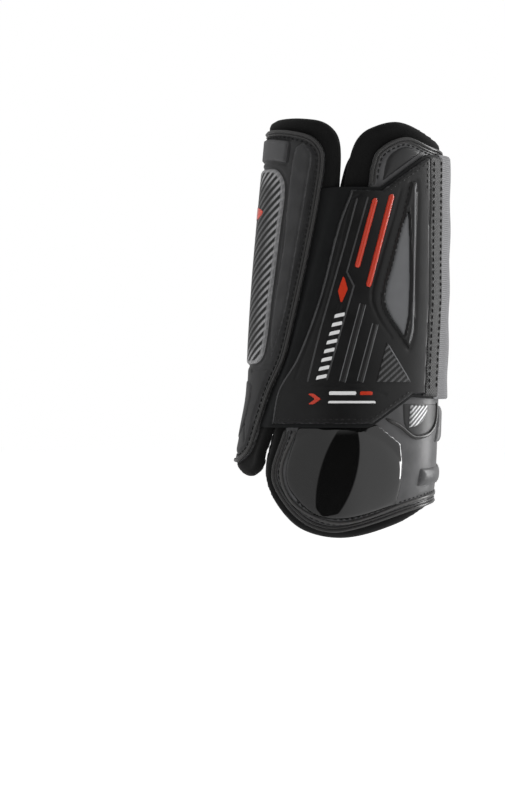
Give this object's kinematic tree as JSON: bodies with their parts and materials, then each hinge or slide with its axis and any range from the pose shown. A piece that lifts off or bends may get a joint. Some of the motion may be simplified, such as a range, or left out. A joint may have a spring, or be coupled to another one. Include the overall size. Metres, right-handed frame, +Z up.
{
  "type": "tendon boot",
  "caption": "Lined tendon and fetlock boot for a horse's foreleg: hinged shin and tendon guards, a wrap-over closure flap and an elastic strap with a pull tab.",
  "frame": {"origin": "middle of the leg passage at the height of the fetlock joint", "axes": "+Z up along the leg as worn, -X to the front of the leg, -Y to its outer side"},
  "size_m": [0.1258, 0.0996, 0.2376],
  "materials": {
    "neoprene": "matt knitted face on closed-cell foam",
    "foam": "soft closed-cell foam",
    "shell": "satin grained synthetic leather over moulded plastic",
    "piping": "satin moulded bead",
    "gloss_panel": "gloss moulded panel",
    "dome": "mirror gloss",
    "carbon": "silver and black twill weave under clear film",
    "carbon_film": "dark twill weave under clear film",
    "loop_tape": "looped pile tape",
    "hook_tape": "hooked tape",
    "red_trim": "gloss red moulding",
    "flap_fabric": "plain coated fabric",
    "window_grey": "satin grey film",
    "webbing": "woven tape",
    "elastic": "ribbed woven elastic"
  },
  "bodies": {
    "tendon_guard": {"rear_liner": "neoprene", "rear_foam_pad": "foam", "tendon_shell": "shell", "tendon_piping": "piping", "cup_piping": "piping", "cup_bead": "piping", "top_panel_outer": "gloss_panel", "top_panel_inner": "gloss_panel", "fetlock_dome_outer": "dome", "fetlock_dome_inner": "dome", "vent_frame": "gloss_panel", "vent_carbon_insert": "carbon", "heel_pad_upper": "shell", "heel_pad_lower": "shell", "loop_tape_outer": "loop_tape", "loop_tape_inner": "loop_tape"},
    "shin_guard": {"front_liner": "neoprene", "front_foam_pad": "foam", "shin_shell": "shell", "shin_piping": "piping", "badge_panel": "gloss_panel", "front_carbon_insert": "carbon", "insert_chevron": "red_trim", "side_panel_outer": "carbon_film", "side_panel_inner": "carbon_film", "front_lower_panel": "shell", "flap_anchor": "flap_fabric"},
    "closure_flap": {"flap_base": "flap_fabric", "hook_tape_outer": "hook_tape", "flap_overlay": "shell", "window_frame": "piping", "window_panel": "window_grey", "red_bar_front": "red_trim", "red_bar_back": "red_trim", "dark_rib_front": "gloss_panel", "dark_rib_back": "gloss_panel", "straight_ridge": "piping", "kinked_ridge": "piping", "carbon_triangle": "carbon_film", "lozenge_emblem": "red_trim", "arrow_emblem": "red_trim", "seam_strip": "webbing"},
    "elastic_strap": {"elastic_band": "elastic", "hook_tape_inner": "hook_tape"},
    "pull_tab": {"pull_tab": "webbing"}
  },
  "joints": [
    {"name": "flap_hinge", "type": "hinge", "parent": "shin_guard", "child": "closure_flap", "pos_m": [-0.0476, -0.03141, 0.031], "axis": [-0.2665, 0.0519, -0.9624], "range_deg": [0, 110]},
    {"name": "inner_hinge", "type": "hinge", "parent": "tendon_guard", "child": "shin_guard", "pos_m": [-0.0466, 0.02656, 0.031], "axis": [-0.2806, -0.057, -0.9581], "range_deg": [0, 33]},
    {"name": "tail_hinge", "type": "hinge", "parent": "closure_flap", "child": "elastic_strap", "pos_m": [0.04565, -0.02548, 0.047], "axis": [-0.0237, -0.0123, -0.9996], "range_deg": [0, 66]},
    {"name": "tab_hinge", "type": "hinge", "parent": "elastic_strap", "child": "pull_tab", "pos_m": [0.05227, 0.017, 0.115], "axis": [0, 0, -1], "range_deg": [0, 60]}
  ],
  "couplings": [
    {"joint": "inner_hinge", "follows": "flap_hinge", "ratio": 0.3},
    {"joint": "tail_hinge", "follows": "flap_hinge", "ratio": 0.6}
  ]
}
